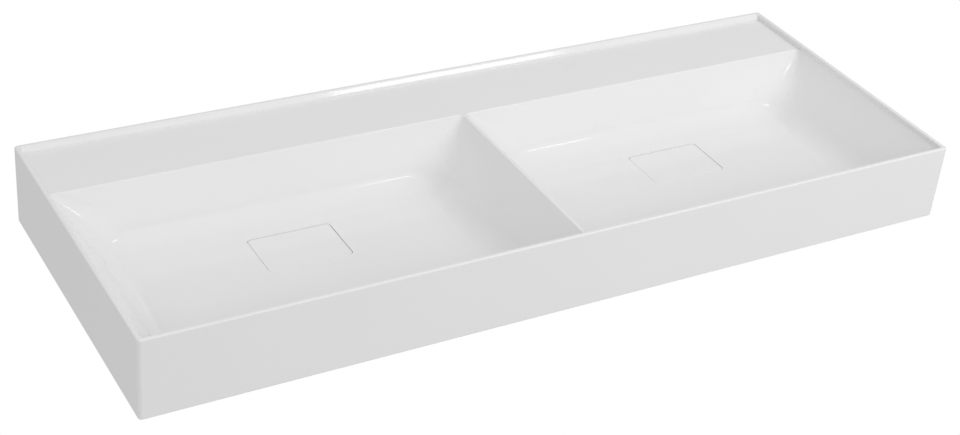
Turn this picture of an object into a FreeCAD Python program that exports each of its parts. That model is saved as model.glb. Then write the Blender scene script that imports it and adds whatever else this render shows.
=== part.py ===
import FreeCAD, Part
import os
import Sketcher

# Wall-hung double washbasin in glazed ceramic, with a free-flow waste and a lift-off cover in each bowl.
# +Z is up, the wall is the plane Y = 0, the user stands at -Y, and the origin lies on the bolt line.

SIZES = [
    ("basin_length", 1200.0, "along the wall"),
    ("basin_depth", 460.0, "from the wall to the front"),
    ("basin_height", 113.0, "rim to base"),
    ("rim_above_bolts", 60.0, "rim above the line of the wall bolts"),
    ("corner_radius", 5.0, "upright outer edges"),
    ("rim_width", 6.5, "rim around the whole top"),
    ("rim_round", 2.0, "both top edges of the rim"),
    ("base_round", 1.5, "lower outer edge"),
    ("recess_corner", 4.0, "upright inner corners behind the rim"),
    ("ledge_drop", 8.5, "rim down to the ledge"),
    ("ledge_reach", 117.0, "wall to the front edge of the ledge"),
    ("divider_width", 5.0, "crest between the bowls"),
    ("side_slope", 35.0, "side walls of a bowl, degrees from upright"),
    ("crease_depth", 72.0, "rim down to the foot of the rear slope"),
    ("crease_reach", 141.0, "wall to the foot of the rear slope"),
    ("sweep_run", 48.0, "hollow sweep from that foot to the level floor"),
    ("floor_depth", 89.0, "rim down to the level floor"),
    ("front_fall", 0.5, "rise of the floor towards the front"),
    ("front_lean", 27.0, "lean of the front wall inside a bowl"),
    ("corner_top", 8.0, "corners of a bowl at their top"),
    ("corner_foot", 52.0, "its rear corners at the foot of the slope"),
    ("front_corner", 52.0, "its front corners at the floor"),
    ("crease_round", 14.0, "rear slope of a bowl into its floor"),
    ("side_round", 44.0, "side walls into the floor"),
    ("front_round", 42.0, "front wall into the floor"),
    ("edge_round", 2.0, "edges of the ledge and the top of the divider"),
    ("bowl_wall", 9.0, "ceramic below the bowls"),
    ("ledge_wall", 10.0, "ceramic below the ledge"),
    ("apron_wall", 9.0, "outer walls below the bowls"),
    ("rear_wall", 12.0, "outer wall at the back"),
    ("hollow_corner", 8.0, "upright corners of the open underside"),
    ("fixing_spacing", 280.0, "between the two wall bolts of a bowl"),
    ("fixing_hole", 18.0, "hole in the ceramic for a wall bolt"),
    ("bush_bore", 10.5, "bore for an M10 wall bolt"),
    ("bush_collar", 28.0, "collar of a wall bush"),
    ("bush_collar_thick", 3.0, "thickness of that collar"),
    ("bush_play", 0.2, "wall bush to its hole, on the radius"),
    ("waste_reach", 231.0, "wall to the axis of the wastes"),
    ("cover_length", 117.0, "waste cover along the wall"),
    ("cover_width", 77.5, "waste cover front to back"),
    ("cover_thick", 7.15, "thickness of the waste cover"),
    ("cover_corner", 5.0, "upright corners of the cover"),
    ("cover_round", 0.8, "top edge of the cover"),
    ("cover_gap", 0.8, "slot that the water runs through"),
    ("cover_sink", 0.05, "cover below the floor"),
    ("foot_height", 6.0, "rubber feet below the cover"),
    ("foot_diameter", 9.0, "diameter of those feet"),
    ("foot_inset", 13.0, "feet from the edges of the cover"),
    ("foot_chamfer", 1.0, "lower edge of a foot"),
    ("recess_wall", 10.0, "ceramic below the cover's recess"),
    ("waste_hole", 46.0, "hole in the ceramic"),
    ("flange_diameter", 63.0, "flange of the waste"),
    ("flange_thick", 2.5, "thickness of that flange"),
    ("flange_play", 1.0, "flange to its seat, on the radius"),
    ("flange_seal_thick", 1.5, "soft ring below the flange"),
    ("tail_diameter", 41.9, "threaded tail, G 1 1/4"),
    ("tail_bore", 35.0, "waterway"),
    ("tail_length", 74.0, "below the flange"),
    ("tail_chamfer", 1.5, "lower end of the tail"),
    ("relief_gap", 1.0, "backnut to the groove below it"),
    ("relief_width", 2.0, "groove between the nut's thread and the trap's"),
    ("relief_depth", 1.5, "depth of that groove"),
    ("hub_diameter", 18.0, "hub that guides the cover"),
    ("hub_bore", 12.2, "bore of the hub"),
    ("hub_length", 18.0, "height of the hub"),
    ("hub_drop", 1.0, "hub below the top of the flange"),
    ("spoke_width", 3.0, "width of the arms that carry the hub"),
    ("spoke_height", 8.0, "height of those arms"),
    ("ring_play", 0.25, "rings on the tail, on the radius"),
    ("seal_diameter", 61.0, "lower seal, washer and nut face"),
    ("seal_thick", 5.0, "lower seal below the ceramic"),
    ("seal_spigot", 4.0, "part of the lower seal inside the hole"),
    ("spigot_play", 0.4, "that part to the hole, on the radius"),
    ("washer_thick", 1.5, "slip washer"),
    ("nut_width", 54.0, "backnut across the flats"),
    ("nut_thick", 10.0, "thickness of the backnut"),
    ("nut_bevel", 2.0, "height of the bevel at the nut's corners"),
    ("carrier_diameter", 46.0, "plate bonded below the cover"),
    ("carrier_thick", 2.5, "thickness of that plate"),
    ("stem_diameter", 10.0, "stem below that plate"),
    ("stem_length", 16.0, "length of the stem"),
    ("stem_chamfer", 1.5, "end of the stem"),
    ("rib_thick", 2.0, "webs between plate and stem"),
    ("rib_reach", 14.0, "webs from the axis of the stem"),
    ("rib_height", 3.0, "webs below the plate"),
    ("ring_section", 1.8, "rubber ring on the stem"),
    ("ring_slack", 0.1, "room around that ring in its groove"),
    ("ring_gap", 0.25, "that ring to the hub, on the radius"),
    ("ring_height", 5.0, "groove above the end of the stem"),
]

doc = FreeCAD.newDocument("double_basin")
sheet = doc.addObject("Spreadsheet::Sheet", "sizes")
for row, (alias, number, note) in enumerate(SIZES, 1):
    sheet.set(f"A{row}", note)
    sheet.set(f"B{row}", str(number))
    sheet.setAlias(f"B{row}", alias)
doc.recompute()

# Levels and places that several pieces share, worked out from the sheet.
RIM = "sizes.rim_above_bolts"
BASE = "(sizes.rim_above_bolts - sizes.basin_height)"
LEDGE = "(sizes.rim_above_bolts - sizes.ledge_drop)"
FLOOR = "(sizes.rim_above_bolts - sizes.floor_depth)"
INNER_LENGTH = "(sizes.basin_length / 2 - sizes.rim_width)"
BOWL_CENTRE = f"(({INNER_LENGTH} + sizes.divider_width / 2) / 2)"
BOWL_HALF = f"(({INNER_LENGTH} - sizes.divider_width / 2) / 2)"
COVER_BOTTOM = f"({FLOOR} - sizes.cover_sink - sizes.cover_thick)"
RECESS_FLOOR = f"({COVER_BOTTOM} - sizes.foot_height)"
RECESS_UNDER = f"({RECESS_FLOOR} - sizes.recess_wall)"
TAIL_RADIUS = "(sizes.tail_diameter / 2)"
SEAT_RADIUS = "(sizes.flange_diameter / 2 + sizes.flange_play)"
SIDES = [("left", -1), ("right", 1)]
ARM_COUNT = 3
WEB_COUNT = 4
RING_FLATS = 8
TOUCH = 0.01
NEARLY_UPRIGHT = 0.99
UP = FreeCAD.Vector(0, 0, 1)
INTO_BASIN = FreeCAD.Rotation(FreeCAD.Vector(1, 0, 0), 90)
nodes = []


def amount(text):
    """Number that an expression on the sheet gives now."""
    return float(sheet.evalExpression(text))


def keep(thing, name):
    """Name a finished piece and list it for export."""
    thing.Label = name
    nodes.append(thing)
    return thing


def new_body(name, x="0", y="0", z="0"):
    body = doc.addObject("PartDesign::Body", name)
    for axis, text in zip("xyz", (x, y, z)):
        body.setExpression(f"Placement.Base.{axis}", text)
    return body


def new_sketch(body, role, name, offset="0"):
    """Sketch on one of the body's own origin planes, moved along its normal."""
    sketch = body.newObject("Sketcher::SketchObject", name)
    plane = next(item for item in body.Origin.OriginFeatures if item.Role == role)
    sketch.AttachmentSupport = (plane, "")
    sketch.MapMode = "FlatFace"
    sketch.setExpression("AttachmentOffset.Base.z", offset)
    return sketch


def pin_point(sketch, geometry, end, x, y):
    """Tie a point of the sketch to the sheet in both directions."""
    for kind, text in (("DistanceX", x), ("DistanceY", y)):
        index = sketch.addConstraint(Sketcher.Constraint(kind, -1, 1, geometry, end, amount(text)))
        sketch.setExpression(f"Constraints[{index}]", text)


def draw_polygon(sketch, corners):
    """Closed outline of straight lines through corners given as expressions."""
    points = [FreeCAD.Vector(amount(x), amount(y), 0) for x, y in corners]
    first = sketch.GeometryCount
    count = len(corners)
    for index, point in enumerate(points):
        sketch.addGeometry(Part.LineSegment(point, points[(index + 1) % count]), False)
    for index, (x, y) in enumerate(corners):
        following = first + (index + 1) % count
        sketch.addConstraint(Sketcher.Constraint("Coincident", first + index, 2, following, 1))
        pin_point(sketch, first + index, 1, x, y)


def draw_rectangle(sketch, half_x, half_y):
    draw_polygon(sketch, [
        (f"-({half_x})", f"-({half_y})"),
        (half_x, f"-({half_y})"),
        (half_x, half_y),
        (f"-({half_x})", half_y),
    ])


def draw_circle(sketch, x, y, radius):
    centre = FreeCAD.Vector(amount(x), amount(y), 0)
    index = sketch.addGeometry(Part.Circle(centre, UP, amount(radius)), False)
    pin_point(sketch, index, 3, x, y)
    size = sketch.addConstraint(Sketcher.Constraint("Radius", index, amount(radius)))
    sketch.setExpression(f"Constraints[{size}]", radius)


def pad(body, sketch, length, both_ways=False, reverse=False):
    feature = body.newObject("PartDesign::Pad", sketch.Name + "_pad")
    feature.Profile = sketch
    feature.setExpression("Length", length)
    feature.Midplane = both_ways
    feature.Reversed = reverse
    doc.recompute()
    return feature


def pocket(body, sketch, depth=None):
    """Cut downwards from the sketch, or both ways through everything."""
    before = body.Shape.Volume
    feature = body.newObject("PartDesign::Pocket", sketch.Name + "_pocket")
    feature.Profile = sketch
    if depth is None:
        feature.Type = "ThroughAll"
        feature.Midplane = True
    else:
        feature.setExpression("Length", depth)
    doc.recompute()
    if not body.Shape.Volume < before:
        raise RuntimeError(sketch.Name + " cuts nothing")
    return feature


def revolve(body, sketch):
    """Turn a profile of radius and height about the body's Z axis."""
    feature = body.newObject("PartDesign::Revolution", sketch.Name + "_turn")
    feature.Profile = sketch
    feature.ReferenceAxis = (sketch, ["V_Axis"])
    doc.recompute()
    return feature


def edges_where(shape, test):
    return [f"Edge{index}" for index, edge in enumerate(shape.Edges, 1) if test(edge)]


def is_straight(edge):
    return edge.Curve.TypeId == "Part::GeomLine"


def is_upright(edge):
    return is_straight(edge) and abs(edge.tangentAt(edge.FirstParameter).z) > NEARLY_UPRIGHT


def lies_at(edge, height):
    box = edge.BoundBox
    return abs(box.ZMin - height) < TOUCH and abs(box.ZMax - height) < TOUCH


def runs_along_wall(edge):
    return edge.BoundBox.XLength > edge.BoundBox.YLength + edge.BoundBox.ZLength


def round_edges(body, name, radius, test):
    """Fillet the edges of the body's last feature that pass the test."""
    base = body.Tip
    chosen = edges_where(base.Shape, test)
    feature = body.newObject("PartDesign::Fillet", name)
    feature.Base = (base, chosen)
    feature.setExpression("Radius", radius)
    doc.recompute()
    return feature


def round_varied(name, base, radius_at, test):
    """Fillet whose radius follows the place along its edges. Its edge list holds plain numbers."""
    feature = doc.addObject("Part::Fillet", name)
    feature.Base = base
    feature.Edges = [
        (index, radius_at(edge.valueAt(edge.FirstParameter)), radius_at(edge.valueAt(edge.LastParameter)))
        for index, edge in enumerate(base.Shape.Edges, 1) if test(edge)
    ]
    doc.recompute()
    return feature


def join(name, things):
    fused = doc.addObject("Part::MultiFuse", name)
    fused.Shapes = things
    return fused


def cut(name, base, tool):
    result = doc.addObject("Part::Cut", name)
    result.Base = base
    result.Tool = tool
    doc.recompute()
    return result


def basin_block():
    """Plain outside of the basin, with the shallow recess that leaves the rim standing."""
    body = new_body("basin_block")
    plan = new_sketch(body, "XY_Plane", "block_plan", BASE)
    half = "sizes.basin_length / 2"
    draw_polygon(plan, [
        (f"-{half}", "-sizes.basin_depth"),
        (half, "-sizes.basin_depth"),
        (half, "0"),
        (f"-{half}", "0"),
    ])
    pad(body, plan, "sizes.basin_height")
    round_edges(body, "block_corners", "sizes.corner_radius", is_upright)
    inside = new_sketch(body, "XY_Plane", "rim_inside", RIM)
    front = "-(sizes.basin_depth - sizes.rim_width)"
    rear = "-sizes.rim_width"
    draw_polygon(inside, [
        (f"-{INNER_LENGTH}", front),
        (INNER_LENGTH, front),
        (INNER_LENGTH, rear),
        (f"-{INNER_LENGTH}", rear),
    ])
    pocket(body, inside, "sizes.ledge_drop")
    ledge = amount(LEDGE)
    round_edges(body, "recess_corners", "sizes.recess_corner",
                lambda edge: is_upright(edge) and edge.BoundBox.ZMin > ledge - TOUCH)
    round_edges(body, "rim_edges", "sizes.rim_round", lambda edge: lies_at(edge, amount(RIM)))
    round_edges(body, "base_edges", "sizes.base_round", lambda edge: lies_at(edge, amount(BASE)))
    return body


def bowl_form(name, side, wall):
    """Hollow of one bowl, or with a wall added the outside of its shell."""
    slab = new_body(name + "_slab")
    section = new_sketch(slab, "YZ_Plane", name + "_section")
    crease_level = f"({RIM} - sizes.crease_depth - {wall})"
    low_level = f"({FLOOR} - {wall} - sizes.bowl_wall)"
    crease = (f"{wall} - sizes.crease_reach", crease_level)
    top_rear = (f"{wall} - sizes.ledge_reach", LEDGE)
    top_front = (f"-(sizes.basin_depth - sizes.rim_width + {wall})", LEDGE)
    foot_front = (f"-(sizes.basin_depth - sizes.rim_width - sizes.front_lean + {wall})",
                  f"{FLOOR} + sizes.front_fall - {wall}")
    sweep_end = ("-(sizes.crease_reach + sizes.sweep_run)", f"{FLOOR} - {wall}")
    outline = [crease, top_rear, top_front, foot_front, sweep_end]
    points = [FreeCAD.Vector(amount(x), amount(y), 0) for x, y in outline]
    last = len(outline) - 2
    for start, end in zip(points, points[1:]):
        section.addGeometry(Part.LineSegment(start, end), False)
    for index, (x, y) in enumerate(outline[:-1]):
        pin_point(section, index, 1, x, y)
    pin_point(section, last, 2, *sweep_end)
    for index in range(last):
        section.addConstraint(Sketcher.Constraint("Coincident", index, 2, index + 1, 1))
    # The sweep runs on smoothly from the floor, so its centre stands square to the floor's end.
    along = points[-1] - points[-2]
    upward = FreeCAD.Vector(-along.y, along.x, 0).normalize()
    chord = points[0] - points[-1]
    radius = chord.Length ** 2 / (2 * chord.dot(upward))
    middle = (chord - upward * 2 * radius).normalize() * radius + points[-1] + upward * radius
    arc = section.addGeometry(Part.Arc(points[-1], middle, points[0]), False)
    section.addConstraint(Sketcher.Constraint("Tangent", last, 2, arc, 1))
    section.addConstraint(Sketcher.Constraint("Coincident", arc, 2, 0, 1))
    half = f"({BOWL_HALF} + {wall} / cos(sizes.side_slope))"
    pad(slab, section, f"2 * {half}", both_ways=True)
    slopes = new_sketch(slab, "XZ_Plane", name + "_slopes")
    toe = f"({half} - ({LEDGE} - {low_level}) * tan(sizes.side_slope))"
    for mirror in ("-1", "1"):
        draw_polygon(slopes, [
            (f"{mirror} * {half}", LEDGE),
            (f"{mirror} * {toe}", low_level),
            (f"{mirror} * {half}", low_level),
        ])
    pocket(slab, slopes)
    ledge = amount(LEDGE)
    crease_height = amount(crease_level)
    rear_foot, floor_seam, front_foot = (amount(place[0]) for place in (crease, sweep_end, foot_front))

    def with_wall(alias):
        return amount(f"sizes.{alias} + {wall}")

    def corner_radius(point):
        """The corners open like cones from the rim downwards."""
        if point.z > ledge - TOUCH:
            return with_wall("corner_top")
        return with_wall("front_corner" if point.y < floor_seam else "corner_foot")

    def floor_radius(point):
        """The floor turns up sharply at its rear and gently along its sides."""
        if point.y > rear_foot - TOUCH:
            return with_wall("crease_round")
        return with_wall("front_round" if point.y < front_foot + TOUCH else "side_round")

    def is_corner(edge):
        return edge.BoundBox.ZMax > ledge - TOUCH and not lies_at(edge, ledge)

    def is_floor_edge(edge):
        on_seam = runs_along_wall(edge) and abs(edge.BoundBox.YMax - floor_seam) < TOUCH
        return edge.BoundBox.ZMax < crease_height + TOUCH and not on_seam

    cornered = round_varied(name + "_corners", slab, corner_radius, is_corner)
    rounded = round_varied(name + "_floor", cornered, floor_radius, is_floor_edge)
    body = new_body(name, f"{side} * {BOWL_CENTRE}")
    body.BaseFeature = rounded
    doc.recompute()
    return body


def plan_box(name, x, y, bottom, half_x, half_y, height, corner):
    """Upright block with rounded corners, centred on x and y."""
    body = new_body(name, x, y, bottom)
    plan = new_sketch(body, "XY_Plane", name + "_plan")
    draw_rectangle(plan, half_x, half_y)
    pad(body, plan, height)
    round_edges(body, name + "_corners", corner, is_upright)
    return body


def turned(name, profile, x="0", y="0", z="0"):
    """Piece turned from a profile of radius and height."""
    body = new_body(name, x, y, z)
    sketch = new_sketch(body, "XZ_Plane", name + "_profile")
    draw_polygon(sketch, profile)
    revolve(body, sketch)
    return body


def ring_profile(inner, outer, top, bottom):
    return [(inner, bottom), (outer, bottom), (outer, top), (inner, top)]


def repeat_around(body, feature, count):
    """Polar pattern about the body's Z axis."""
    pattern = body.newObject("PartDesign::PolarPattern", feature.Name + "_pattern")
    pattern.Originals = [feature]
    axis = next(item for item in body.Origin.OriginFeatures if item.Role == "Z_Axis")
    pattern.Axis = (axis, [""])
    pattern.Angle = 360
    pattern.Occurrences = count
    body.Tip = pattern
    doc.recompute()


def waste_opening(side, sign):
    """Recess for a cover, with the seat of the flange and the hole below it."""
    name = f"{side}_waste_opening"
    body = plan_box(name, f"{sign} * {BOWL_CENTRE}", "-sizes.waste_reach", RECESS_FLOOR,
                    "sizes.cover_length / 2 + sizes.cover_gap", "sizes.cover_width / 2 + sizes.cover_gap",
                    f"{LEDGE} - {RECESS_FLOOR}", "sizes.cover_corner + sizes.cover_gap")
    seat = "-(sizes.flange_thick + sizes.flange_seal_thick)"
    through = "-(sizes.recess_wall + sizes.bowl_wall)"
    sketch = new_sketch(body, "XZ_Plane", name + "_seat")
    draw_polygon(sketch, [
        ("0", through),
        ("sizes.waste_hole / 2", through),
        ("sizes.waste_hole / 2", seat),
        (SEAT_RADIUS, seat),
        (SEAT_RADIUS, "sizes.cover_sink"),
        ("0", "sizes.cover_sink"),
    ])
    revolve(body, sketch)
    return body


def waste_boss(side, sign):
    """Thicker ceramic below a cover's recess."""
    margin = "sizes.cover_gap + sizes.recess_wall"
    return plan_box(f"{side}_waste_boss", f"{sign} * {BOWL_CENTRE}", "-sizes.waste_reach", RECESS_UNDER,
                    f"sizes.cover_length / 2 + {margin}", f"sizes.cover_width / 2 + {margin}",
                    f"{FLOOR} - {RECESS_UNDER}", f"sizes.cover_corner + {margin}")


def bolt_places():
    """Expressions for the four wall bolts along X."""
    return [f"({sign} * {BOWL_CENTRE} + {end} * sizes.fixing_spacing / 2)"
            for _, sign in SIDES for end in (-1, 1)]


def bolt_hole(index, x):
    hole = doc.addObject("Part::Cylinder", f"bolt_hole_{index}")
    hole.setExpression("Radius", "sizes.fixing_hole / 2")
    hole.setExpression("Height", "3 * sizes.rear_wall")
    hole.Placement.Rotation = INTO_BASIN
    hole.setExpression("Placement.Base.x", x)
    hole.setExpression("Placement.Base.y", "sizes.rear_wall")
    return hole


def basin():
    hollows = [bowl_form(f"{side}_bowl_form", sign, "0") for side, sign in SIDES]
    hollows += [waste_opening(side, sign) for side, sign in SIDES]
    hollows += [bolt_hole(index, x) for index, x in enumerate(bolt_places(), 1)]
    # The underside is open, and follows the bowls at the thickness of their wall.
    room_depth = "(sizes.basin_depth - sizes.apron_wall - sizes.rear_wall)"
    room = plan_box("under_room", "0", f"-sizes.rear_wall - {room_depth} / 2", f"{BASE} - sizes.bowl_wall",
                    "sizes.basin_length / 2 - sizes.apron_wall", f"{room_depth} / 2",
                    f"{LEDGE} - sizes.ledge_wall - {BASE} + sizes.bowl_wall", "sizes.hollow_corner")
    shells = [bowl_form(f"{side}_bowl_shell", sign, "sizes.bowl_wall") for side, sign in SIDES]
    shells += [waste_boss(side, sign) for side, sign in SIDES]
    under = cut("underside", room, join("bowl_shells", shells))
    topped = cut("basin_bowls", basin_block(), join("bowl_hollows", hollows))
    body = new_body("basin_casting")
    body.BaseFeature = cut("basin_ceramic", topped, under)
    doc.recompute()
    ledge = amount(LEDGE)
    ledge_front = -amount("sizes.ledge_reach")
    # The rounding runs on around each bowl's corners and along the divider's crest.
    round_edges(body, "ledge_edges", "sizes.edge_round",
                lambda edge: lies_at(edge, ledge) and abs(edge.BoundBox.YMin - ledge_front) < TOUCH)
    return keep(body, "basin")


def wall_bushes():
    """Nylon bushes that line the bolt holes, with their collars on the inner side of the rear wall."""
    sleeve = "sizes.fixing_hole / 2 - sizes.bush_play"
    collar_end = "sizes.rear_wall + sizes.bush_collar_thick"
    bushes = []
    for index, x in enumerate(bolt_places(), 1):
        bush = turned(f"wall_bush_{index}", [
            ("sizes.bush_bore / 2", "0"),
            (sleeve, "0"),
            (sleeve, "sizes.rear_wall"),
            ("sizes.bush_collar / 2", "sizes.rear_wall"),
            ("sizes.bush_collar / 2", collar_end),
            ("sizes.bush_bore / 2", collar_end),
        ], x)
        bush.Placement.Rotation = INTO_BASIN
        bushes.append(bush)
    group = doc.addObject("Part::Compound", "bush_group")
    group.Links = bushes
    return keep(group, "wall_bushes")


def waste_body(side, x):
    """Flanged and threaded waste, with a hub on three arms inside its mouth."""
    bore = "sizes.tail_bore / 2"
    flange = "sizes.flange_diameter / 2"
    end = "-(sizes.flange_thick + sizes.tail_length)"
    clamped = "(sizes.recess_wall + sizes.seal_thick + sizes.washer_thick + sizes.nut_thick)"
    relief_top = f"(-{clamped} - sizes.relief_gap)"
    relief_end = f"({relief_top} - sizes.relief_width)"
    relief_root = f"{TAIL_RADIUS} - sizes.relief_depth"
    body = turned(f"{side}_waste", [
        (bore, "-sizes.flange_thick"),
        (f"{bore} + sizes.flange_thick", "0"),
        (flange, "0"),
        (flange, "-sizes.flange_thick"),
        (TAIL_RADIUS, "-sizes.flange_thick"),
        (TAIL_RADIUS, relief_top),
        (relief_root, relief_top),
        (relief_root, relief_end),
        (TAIL_RADIUS, relief_end),
        (TAIL_RADIUS, f"{end} + sizes.tail_chamfer"),
        (f"{TAIL_RADIUS} - sizes.tail_chamfer", end),
        (bore, end),
    ], x, "-sizes.waste_reach", RECESS_FLOOR)
    top = "-(sizes.hub_drop + sizes.flange_thick)"
    root = f"({bore} + {TAIL_RADIUS}) / 2"
    arm = new_sketch(body, "XY_Plane", f"{side}_waste_arm", top)
    width = "sizes.spoke_width / 2"
    draw_polygon(arm, [("0", f"-{width}"), (root, f"-{width}"), (root, width), ("0", width)])
    arm_pad = pad(body, arm, "sizes.spoke_height", reverse=True)
    repeat_around(body, arm_pad, ARM_COUNT)
    hub = new_sketch(body, "XY_Plane", f"{side}_waste_hub", "-sizes.hub_drop")
    draw_circle(hub, "0", "0", "sizes.hub_diameter / 2")
    pad(body, hub, "sizes.hub_length", reverse=True)
    socket = new_sketch(body, "XY_Plane", f"{side}_waste_socket", "-sizes.hub_drop")
    draw_circle(socket, "0", "0", "sizes.hub_bore / 2")
    pocket(body, socket, "sizes.hub_length")
    return keep(body, f"{side}_waste_body")


def waste_seals(side, x):
    """Soft ring below the flange, and the stepped ring that closes the hole from below."""
    inner = f"({TAIL_RADIUS} + sizes.ring_play)"
    spigot = "(sizes.waste_hole / 2 - sizes.spigot_play)"
    flange_seal = turned(f"{side}_upper_ring", ring_profile(
        inner, "sizes.flange_diameter / 2", "0", "-sizes.flange_seal_thick",
    ), x, "-sizes.waste_reach", f"{RECESS_FLOOR} - sizes.flange_thick")
    lower_seal = turned(f"{side}_lower_ring", [
        (inner, "-sizes.seal_thick"),
        ("sizes.seal_diameter / 2", "-sizes.seal_thick"),
        ("sizes.seal_diameter / 2", "0"),
        (spigot, "0"),
        (f"({inner} + {spigot}) / 2", "sizes.seal_spigot"),
        (inner, "sizes.seal_spigot"),
    ], x, "-sizes.waste_reach", RECESS_UNDER)
    keep(flange_seal, f"{side}_flange_seal")
    keep(lower_seal, f"{side}_lower_seal")


def waste_clamp(side, x):
    """Slip washer and hexagon backnut that pull the waste down on its seals."""
    inner = f"({TAIL_RADIUS} + sizes.ring_play)"
    washer_top = f"({RECESS_UNDER} - sizes.seal_thick)"
    washer = turned(f"{side}_washer", ring_profile(
        inner, "sizes.seal_diameter / 2", "0", "-sizes.washer_thick",
    ), x, "-sizes.waste_reach", washer_top)
    keep(washer, f"{side}_slip_washer")
    nut = new_body(f"{side}_nut", x, "-sizes.waste_reach", f"{washer_top} - sizes.washer_thick")
    plan = new_sketch(nut, "XY_Plane", f"{side}_nut_plan")
    corner = "(sizes.nut_width / sqrt(3))"
    draw_polygon(plan, [(f"{corner} * cos({turn})", f"{corner} * sin({turn})")
                        for turn in range(0, 360, 60)])
    draw_circle(plan, "0", "0", inner)
    pad(nut, plan, "sizes.nut_thick", reverse=True)
    bevel = new_sketch(nut, "XZ_Plane", f"{side}_nut_bevel")
    flat = "sizes.nut_width / 2"
    beyond = f"({corner} + sizes.nut_bevel)"
    slant = f"(sizes.nut_bevel * ({beyond} - {flat}) / ({corner} - {flat}))"
    draw_polygon(bevel, [(flat, "0"), (beyond, "0"), (beyond, f"-{slant}")])
    draw_polygon(bevel, [
        (flat, "-sizes.nut_thick"),
        (beyond, f"{slant} - sizes.nut_thick"),
        (beyond, "-sizes.nut_thick"),
    ])
    groove = nut.newObject("PartDesign::Groove", f"{side}_nut_bevels")
    groove.Profile = bevel
    groove.ReferenceAxis = (bevel, ["V_Axis"])
    doc.recompute()
    keep(nut, f"{side}_backnut")


def cover_plate(side, x):
    body = plan_box(f"{side}_cover", x, "-sizes.waste_reach", COVER_BOTTOM, "sizes.cover_length / 2",
                    "sizes.cover_width / 2", "sizes.cover_thick", "sizes.cover_corner")
    top = amount("sizes.cover_thick")
    round_edges(body, f"{side}_cover_edges", "sizes.cover_round", lambda edge: lies_at(edge, top))
    return keep(body, f"{side}_cover_plate")


def cover_carrier(side, x):
    """Plate bonded below a cover, with a stem that drops into the hub and a rubber ring in its groove."""
    stem = "sizes.stem_diameter / 2"
    end = "-(sizes.carrier_thick + sizes.stem_length)"
    ring_radius = "(sizes.hub_bore / 2 - sizes.ring_gap - sizes.ring_section / 2)"
    ring_level = f"({end} + sizes.ring_height)"
    root = f"({ring_radius} - sizes.ring_section / 2 - sizes.ring_slack)"
    half_groove = "(sizes.ring_section / 2 + sizes.ring_slack)"
    body = turned(f"{side}_carrier", [
        ("0", end),
        (f"{stem} - sizes.stem_chamfer", end),
        (stem, f"{end} + sizes.stem_chamfer"),
        (stem, f"{ring_level} - {half_groove}"),
        (root, f"{ring_level} - {half_groove}"),
        (root, f"{ring_level} + {half_groove}"),
        (stem, f"{ring_level} + {half_groove}"),
        (stem, "-sizes.carrier_thick"),
        ("sizes.carrier_diameter / 2", "-sizes.carrier_thick"),
        ("sizes.carrier_diameter / 2", "0"),
        ("0", "0"),
    ], x, "-sizes.waste_reach", COVER_BOTTOM)
    web = new_sketch(body, "XY_Plane", f"{side}_carrier_web", "-sizes.carrier_thick")
    width = "sizes.rib_thick / 2"
    reach = "sizes.rib_reach"
    draw_polygon(web, [("0", f"-{width}"), (reach, f"-{width}"), (reach, width), ("0", width)])
    web_pad = pad(body, web, "sizes.rib_height", reverse=True)
    repeat_around(body, web_pad, WEB_COUNT)
    keep(body, f"{side}_cover_carrier")
    # The ring's round section is drawn with flats, which keeps such a small piece light.
    reach_out = f"(sizes.ring_section / 2 / cos(180 / {RING_FLATS}))"
    turns = [(corner + 0.5) * 360 / RING_FLATS for corner in range(RING_FLATS)]
    ring = turned(f"{side}_ring", [
        (f"{ring_radius} + {reach_out} * cos({turn})", f"{ring_level} + {reach_out} * sin({turn})")
        for turn in turns
    ], x, "-sizes.waste_reach", COVER_BOTTOM)
    keep(ring, f"{side}_stem_ring")


def cover_feet(side, x):
    """Four rubber feet that carry a cover on the floor of its recess."""
    radius = "sizes.foot_diameter / 2"
    feet = []
    for across in (-1, 1):
        for along in (-1, 1):
            feet.append(turned(f"{side}_foot_{len(feet) + 1}", [
                ("0", "-sizes.foot_height"),
                (f"{radius} - sizes.foot_chamfer", "-sizes.foot_height"),
                (radius, "sizes.foot_chamfer - sizes.foot_height"),
                (radius, "0"),
                ("0", "0"),
            ], f"{x} + {across} * (sizes.cover_length / 2 - sizes.foot_inset)",
                f"{along} * (sizes.cover_width / 2 - sizes.foot_inset) - sizes.waste_reach", COVER_BOTTOM))
    group = doc.addObject("Part::Compound", f"{side}_feet")
    group.Links = feet
    keep(group, f"{side}_cover_feet")


basin()
wall_bushes()
for side, sign in SIDES:
    axis_x = f"{sign} * {BOWL_CENTRE}"
    waste_body(side, axis_x)
    waste_seals(side, axis_x)
    waste_clamp(side, axis_x)
    cover_plate(side, axis_x)
    cover_carrier(side, axis_x)
    cover_feet(side, axis_x)
doc.recompute()

for thing in doc.Objects:
    if "Invalid" in thing.State or "Error" in thing.State:
        raise RuntimeError(f"{thing.Label} failed: {thing.State}")
for node in nodes:
    if node.Shape.isNull() or not node.Shape.isValid():
        raise RuntimeError(f"{node.Label} has no valid shape")
os.makedirs("parts", exist_ok=True)
for node in nodes:
    node.Shape.exportStep(f"parts/{node.Label}.step")
    print(f"{node.Label}: {len(node.Shape.Solids)} solids, {node.Shape.Volume / 1000:.2f} cubic cm")
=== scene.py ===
import math
import bmesh
import bpy
from mathutils import Matrix, Vector


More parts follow.
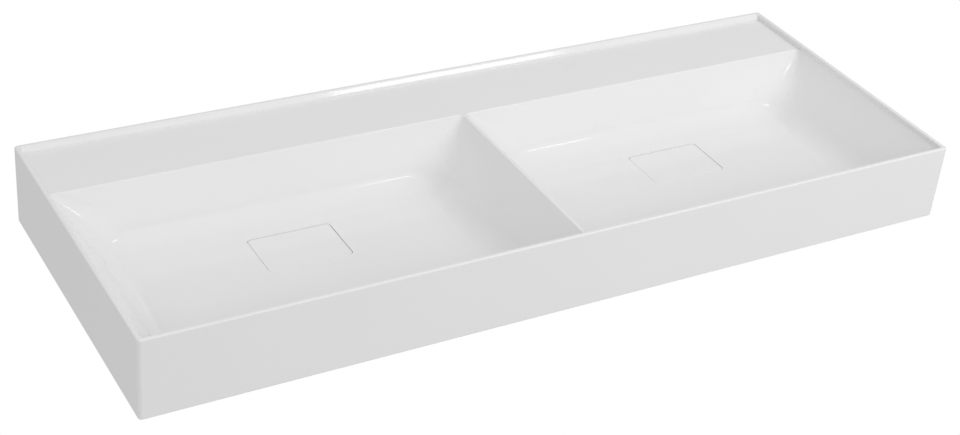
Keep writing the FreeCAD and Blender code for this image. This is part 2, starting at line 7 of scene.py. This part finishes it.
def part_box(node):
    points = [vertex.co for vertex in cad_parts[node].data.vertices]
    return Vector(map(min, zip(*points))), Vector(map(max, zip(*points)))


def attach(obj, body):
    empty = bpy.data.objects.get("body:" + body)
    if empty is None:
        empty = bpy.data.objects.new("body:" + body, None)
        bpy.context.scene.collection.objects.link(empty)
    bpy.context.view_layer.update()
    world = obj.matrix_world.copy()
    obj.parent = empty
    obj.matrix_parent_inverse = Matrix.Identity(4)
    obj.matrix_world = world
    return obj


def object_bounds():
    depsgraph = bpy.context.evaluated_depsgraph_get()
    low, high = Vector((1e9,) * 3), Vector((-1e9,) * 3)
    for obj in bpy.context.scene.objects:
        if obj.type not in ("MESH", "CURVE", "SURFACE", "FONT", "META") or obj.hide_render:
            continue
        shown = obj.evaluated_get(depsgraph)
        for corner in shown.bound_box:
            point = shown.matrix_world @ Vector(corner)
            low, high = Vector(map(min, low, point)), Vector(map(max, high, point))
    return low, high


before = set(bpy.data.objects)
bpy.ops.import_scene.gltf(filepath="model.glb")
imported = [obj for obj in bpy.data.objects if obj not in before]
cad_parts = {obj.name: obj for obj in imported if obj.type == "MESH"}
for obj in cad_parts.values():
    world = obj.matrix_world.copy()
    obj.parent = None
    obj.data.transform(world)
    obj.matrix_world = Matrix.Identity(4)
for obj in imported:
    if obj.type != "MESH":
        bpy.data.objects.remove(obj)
cadLow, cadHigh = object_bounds()
print("loaded", len(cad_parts), "pieces of the basin")


class Wire:  # one output socket, so that shader maths reads as plain maths
    def __init__(self, tree, socket):
        self.tree = tree
        self.socket = socket

    def maths(self, operation, first, second):
        node = self.tree.nodes.new("ShaderNodeMath")
        node.operation = operation
        for spot, value in zip(node.inputs, (first, second)):
            if isinstance(value, Wire):
                self.tree.links.new(value.socket, spot)
            else:
                spot.default_value = value
        return Wire(self.tree, node.outputs[0])

    def __add__(self, other):
        return self.maths("ADD", self, other)

    def __radd__(self, other):
        return self.maths("ADD", other, self)

    def __sub__(self, other):
        return self.maths("SUBTRACT", self, other)

    def __rsub__(self, other):
        return self.maths("SUBTRACT", other, self)

    def __mul__(self, other):
        return self.maths("MULTIPLY", self, other)

    def __rmul__(self, other):
        return self.maths("MULTIPLY", other, self)

    def __truediv__(self, other):
        return self.maths("DIVIDE", self, other)

    def __rtruediv__(self, other):
        return self.maths("DIVIDE", other, self)

    def __lt__(self, other):
        return self.maths("LESS_THAN", self, other)

    def __gt__(self, other):
        return self.maths("GREATER_THAN", self, other)

    def __pow__(self, other):
        return self.maths("POWER", self, other)

    def __rpow__(self, other):
        return self.maths("POWER", other, self)

    def atLeast(self, other):
        return self.maths("MAXIMUM", self, other)

    def angleOver(self, across):
        return self.maths("ARCTAN2", self, across)

    def zigzag(self):  # 0 to 1 and back over each whole number
        return self.maths("PINGPONG", self, 0.5) * 2


class Nodes:  # a node tree, filled one node at a time
    def __init__(self, tree):
        self.tree = tree
        tree.nodes.clear()

    def add(self, kind, settings=None, sockets=None, out=0):
        node = self.tree.nodes.new("ShaderNode" + kind)
        for name, value in (settings or {}).items():
            setattr(node, name, value)
        for name, value in (sockets or {}).items():
            spot = next(s for s in node.inputs if name in (s.identifier, s.name) and s.enabled)
            if isinstance(value, Wire):
                self.tree.links.new(value.socket, spot)
            else:
                spot.default_value = value
        return Wire(self.tree, node.outputs[out]) if node.outputs else None

    def split(self, vector):
        return [self.add("SeparateXYZ", sockets={"Vector": vector}, out=axis) for axis in "XYZ"]


class Finish(Nodes):  # one material
    def __init__(self, name):
        self.material = bpy.data.materials.new(name)
        self.material.use_nodes = True
        super().__init__(self.material.node_tree)

    def place(self):
        return self.add("TexCoord", out="Object")

    def noise(self, scale, detail=2.0):
        sockets = {"Vector": self.place(), "Scale": scale, "Detail": detail}
        return self.add("TexNoise", sockets=sockets)

    def blend(self, amount, first, second):
        sockets = {"Factor_Float": amount, "A_Color": first, "B_Color": second}
        return self.add("Mix", {"data_type": "RGBA"}, sockets, out=2)  # its third output is the colour

    def bump(self, height, distance, **under):
        return self.add("Bump", sockets={"Height": height, "Distance": distance, **under})

    def surface(self, **sockets):
        named = {name.replace("_", " "): value for name, value in sockets.items()}
        self.add("OutputMaterial", sockets={"Surface": self.add("BsdfPrincipled", sockets=named)})
        return self.material


def tone(shade, share=1.0):
    return (*[part * share for part in shade], 1.0)


# glazed ceramic: white glaze with a faint flow to it,
# bare fired clay on the back, the foot and the underside
glazeLook = {
    "white": (0.92, 0.92, 0.92),
    "thinner": 0.975,  # share of the white where the glaze ran thinner
    "gloss": 0.07,
    "glossSpread": 0.03,
    "bend": 1.5,  # index of refraction
    "flow": 0.00012,  # metres of slow waviness in the glaze
    "flowScale": 9.0,
    "peel": 0.000004,  # metres of fine waviness
    "peelScale": 260.0,
    "clay": (0.74, 0.70, 0.64),
    "clayDark": 0.93,  # share of the clay's shade between its grains
    "clayRough": 0.6,  # on top of the gloss
    "clayGrain": 6,  # times as deep as the peel
    "grainScale": 900.0,
    "grainDetail": 3.0,
    "bareEdge": 0.0008,  # metres of bare clay round the corner from the back and the foot
    "bareTilt": -0.35,  # faces that look down more than this are bare
    "bareBelow": 0.045,  # and lie below this height in metres
}


def glazeFinish():
    look = glazeLook
    finish = Finish("white_glaze")
    depth, height = finish.split(finish.place())[1:]
    facing = finish.split(finish.add("NewGeometry", out="Normal"))[2]
    back = depth > cadHigh.y - look["bareEdge"]
    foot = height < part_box("basin")[0].z + look["bareEdge"]
    underside = (facing < look["bareTilt"]) * (height < look["bareBelow"])
    bare = back.atLeast(foot).atLeast(underside)
    slow = finish.noise(look["flowScale"])
    fine = finish.noise(look["peelScale"], 1.0)
    grains = finish.noise(look["grainScale"], look["grainDetail"])
    white = finish.blend(slow, tone(look["white"], look["thinner"]), tone(look["white"]))
    clay = finish.blend(grains, tone(look["clay"], look["clayDark"]), tone(look["clay"]))
    ripple = finish.bump(slow, look["flow"])
    peel = finish.bump(fine + grains * bare * look["clayGrain"], look["peel"], Normal=ripple)
    return finish.surface(
        Base_Color=finish.blend(bare, white, clay),
        Roughness=bare * look["clayRough"] + (fine * look["glossSpread"] + look["gloss"]),
        Normal=peel, IOR=look["bend"])


# small parts, mostly out of sight below the bowls
partLooks = {
    "castBrass": {
        "shade": (0.70, 0.53, 0.26), "metal": 1.0, "rough": 0.28, "grain": 700.0, "depth": 0.00002,
    },
    "blackRubber": {
        "shade": (0.028, 0.028, 0.03), "metal": 0.0, "rough": 0.62, "grain": 900.0, "depth": 0.00003,
    },
    "greyRubber": {
        "shade": (0.30, 0.30, 0.31), "metal": 0.0, "rough": 0.58, "grain": 900.0, "depth": 0.00003,
    },
    "whiteNylon": {
        "shade": (0.76, 0.75, 0.71), "metal": 0.0, "rough": 0.38, "grain": 500.0, "depth": 0.00001,
    },
    "carrierPlastic": {
        "shade": (0.62, 0.62, 0.62), "metal": 0.0, "rough": 0.42, "grain": 650.0, "depth": 0.00001,
    },
}
partWear = {  # the same on all of them
    "patchScale": 45.0,
    "patchDark": 0.9,  # share of the shade in the darker patches
    "roughSpread": 0.12,
    "roughDrop": 0.04,  # smoothest patches, below the part's own roughness
    "grainDetail": 3.0,
}


def partFinish(name):
    look = partLooks[name]
    finish = Finish(name)
    patches = finish.noise(partWear["patchScale"])
    grain = finish.noise(look["grain"], partWear["grainDetail"])
    return finish.surface(
        Base_Color=finish.blend(
            patches, tone(look["shade"], partWear["patchDark"]), tone(look["shade"])),
        Roughness=patches * partWear["roughSpread"] + (look["rough"] - partWear["roughDrop"]),
        Metallic=look["metal"],
        Normal=finish.bump(grain, look["depth"]))


# chromed waste: the tail's thread is cut in the finish, turning about the waste's own middle
wasteLook = {
    "shade": (0.78, 0.79, 0.80),
    "patchScale": 60.0,
    "patchDark": 0.94,
    "rough": 0.07,
    "roughSpread": 0.08,
    "roughDrop": 0.02,
    "pitch": 0.00231,
    "threadDepth": 0.0006,
    "threadTop": -0.0565,
    "threadRoot": 0.0196,  # metres from the axis, so that only the outside is threaded
    "threadRough": 0.06,
}


def wasteFinish(side):
    look = wasteLook
    finish = Finish(side + "_chrome")
    low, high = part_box(side + "_waste_body")
    x, y, z = finish.split(finish.place())
    outX = x - (low.x + high.x) / 2
    outY = y - (low.y + high.y) / 2
    outside = outX * outX + outY * outY > look["threadRoot"] ** 2
    threaded = outside * (z < look["threadTop"])
    turns = z / look["pitch"] - outY.angleOver(outX) / math.tau
    patches = finish.noise(look["patchScale"])
    wear = patches * look["roughSpread"] + threaded * look["threadRough"]
    return finish.surface(
        Base_Color=finish.blend(patches, tone(look["shade"], look["patchDark"]), tone(look["shade"])),
        Roughness=wear + (look["rough"] - look["roughDrop"]),
        Metallic=1.0,
        Normal=finish.bump(turns.zigzag() * threaded, look["threadDepth"]))


finishes = {name: partFinish(name) for name in partLooks}
finishes["glaze"] = glazeFinish()
wornBy = {
    "basin": "glaze",
    "wall_bushes": "whiteNylon",
    "flange_seal": "blackRubber",
    "lower_seal": "blackRubber",
    "slip_washer": "whiteNylon",
    "backnut": "castBrass",
    "cover_plate": "glaze",
    "cover_carrier": "carrierPlastic",
    "stem_ring": "blackRubber",
    "cover_feet": "greyRubber",
}
for name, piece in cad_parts.items():
    side, _, kind = name.partition("_")
    if kind == "waste_body":  # each waste has a finish of its own, for its thread
        finish = wasteFinish(side)
    else:
        finish = finishes[wornBy[kind if side in ("left", "right") else name]]
    piece.data.materials.clear()
    piece.data.materials.append(finish)
print("finishes on", len(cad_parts), "pieces")


# sloped foot of the back rim, glazed over with the rest
backCove = {
    "rimFace": -0.0065,  # metres along y
    "ledge": 0.0515,  # metres along z
    "halfLength": 0.5932,  # its ends run into the rim on both sides
    "outline": (  # y and z from the corner of rim and ledge, a little sunk into both
        (0.0003, 0.0072), (-0.0005, 0.0064), (-0.0040, 0.0029),
        (-0.0046, 0.0021), (-0.0052, -0.0003), (0.0003, -0.0003),
    ),
}


def makeBackCove():
    rim, ledge = backCove["rimFace"], backCove["ledge"]
    outline = backCove["outline"]
    shape = bmesh.new()
    ends = []
    for x in (-backCove["halfLength"], backCove["halfLength"]):
        ends.append([shape.verts.new((x, rim + y, ledge + z)) for y, z in outline])
    for corner in range(len(outline)):
        shape.faces.new([ends[0][corner - 1], ends[0][corner], ends[1][corner], ends[1][corner - 1]])
    for end in ends:
        shape.faces.new(end)
    bmesh.ops.recalc_face_normals(shape, faces=shape.faces)
    mesh = bpy.data.meshes.new("back_cove")
    shape.to_mesh(mesh)
    shape.free()
    cove = bpy.data.objects.new("back_cove", mesh)
    bpy.context.scene.collection.objects.link(cove)
    mesh.materials.append(finishes["glaze"])
    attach(cove, "root")


makeBackCove()
print("sloped foot of the back rim made")


# studio: a pale floor just below the tails, blown out to white, in a soft white tent
studio = {
    "floorSize": 12.0,
    "floorGap": 0.004,
    "floorGlow": 1.0,
    "tentGlow": 0.518,
}
tentPanels = {  # brighter parts of the tent: the way they lie, how bright they are, how narrow
    "front": {"towards": (0, -0.5, 0.87), "glow": 0.485, "focus": 4.0},
    "top": {"towards": (0, 0, 1), "glow": 0.08, "focus": 1.0},
    "left": {"towards": (-1, 0, -0.45), "glow": 0.16, "focus": 2.0},
}
lamps = {  # one lights the basin, the other is only mirrored in the glaze
    "softBox": {
        "at": (1.0, -2.06, 1.2), "aim": (0, -0.23, 0), "size": (1.4, 1.0),
        "watts": 13.4, "mirrored": False,
    },
    "keyStrip": {
        "at": (0.76, -0.8, 1.3), "aim": (0.76, -0.14, 0), "size": (0.59, 0.14),
        "watts": 1.6, "mirrored": True,
    },
}


def makeFloor():
    half = studio["floorSize"] / 2
    level = cadLow.z - studio["floorGap"]
    corners = [(-half, -half, level), (half, -half, level), (half, half, level), (-half, half, level)]
    mesh = bpy.data.meshes.new("floor")
    mesh.from_pydata(corners, [], [(0, 1, 2, 3)])
    floor = bpy.data.objects.new("floor", mesh)
    bpy.context.scene.collection.objects.link(floor)
    finish = Finish("floor_paper")
    glow = finish.add("Emission", sockets={"Strength": studio["floorGlow"]})
    finish.add("OutputMaterial", sockets={"Surface": glow})
    mesh.materials.append(finish.material)
    floor.visible_diffuse = floor.visible_glossy = False  # it casts no light on the basin


def makeTent():
    world = bpy.data.worlds.new("tent")
    bpy.context.scene.world = world
    world.use_nodes = True
    nodes = Nodes(world.node_tree)
    direction = nodes.add("TexCoord", out="Generated")
    glow = studio["tentGlow"]
    for panel in tentPanels.values():
        sockets = {"Vector": direction, "Vector_001": Vector(panel["towards"]).normalized()}
        share = nodes.add("VectorMath", {"operation": "DOT_PRODUCT"}, sockets, out="Value")
        glow = glow + panel["glow"] * share.atLeast(0) ** panel["focus"]
    seen = nodes.add("LightPath", out="Is Camera Ray")  # plain white behind the basin
    strength = seen + (1 - seen) * glow
    light = nodes.add("Background", sockets={"Color": tone((1, 1, 1)), "Strength": strength})
    nodes.add("OutputWorld", sockets={"Surface": light})


def makeLamp(name, lamp):
    data = bpy.data.lights.new(name, "AREA")
    data.shape = "RECTANGLE"
    data.size, data.size_y = lamp["size"]
    data.energy = lamp["watts"]
    thing = bpy.data.objects.new(name, data)
    thing.location = lamp["at"]
    thing.rotation_mode = "QUATERNION"
    thing.rotation_quaternion = (Vector(lamp["aim"]) - thing.location).to_track_quat("-Z", "Y")
    thing.visible_glossy = lamp["mirrored"]
    thing.visible_diffuse = not lamp["mirrored"]
    bpy.context.scene.collection.objects.link(thing)


# camera: fitted to the edges of the basin in the photograph
view = {
    "target": (-0.0317, -0.3846, 0.0567),  # metres
    "distance": 2.3617,
    "azimuth": -33.94,  # degrees, as the next two
    "elevation": 31.805,
    "roll": 6.667,
    "focal": 1828.6,  # pixels, as the next two
    "centre": (540.7, 210.4),
    "image": (960, 435),
    "sensor": 36.0,  # millimetres
}


def makeCamera():
    azimuth, elevation, roll = (math.radians(view[k]) for k in ("azimuth", "elevation", "roll"))
    level = math.cos(elevation)
    back = Vector((math.sin(azimuth) * level, -math.cos(azimuth) * level, math.sin(elevation)))
    right = Vector((0, 0, 1)).cross(back).normalized()
    up = back.cross(right)
    turnedRight = math.cos(roll) * right + math.sin(roll) * up
    turnedUp = math.cos(roll) * up - math.sin(roll) * right
    wide, high = view["image"]
    data = bpy.data.cameras.new("photoCamera")
    data.sensor_width = view["sensor"]
    data.lens = view["focal"] / wide * view["sensor"]
    data.shift_x = (wide / 2 - view["centre"][0]) / wide
    data.shift_y = (view["centre"][1] - high / 2) / wide
    camera = bpy.data.objects.new("photoCamera", data)
    turn = Matrix((turnedRight, turnedUp, back)).transposed().to_4x4()
    camera.matrix_world = Matrix.Translation(Vector(view["target"]) + back * view["distance"]) @ turn
    bpy.context.scene.collection.objects.link(camera)
    bpy.context.scene.camera = camera


makeFloor()
makeTent()
for name, lamp in lamps.items():
    makeLamp(name, lamp)
makeCamera()
bpy.context.scene.view_settings.view_transform = "Standard"
print("studio ready with", len(lamps), "lamps")
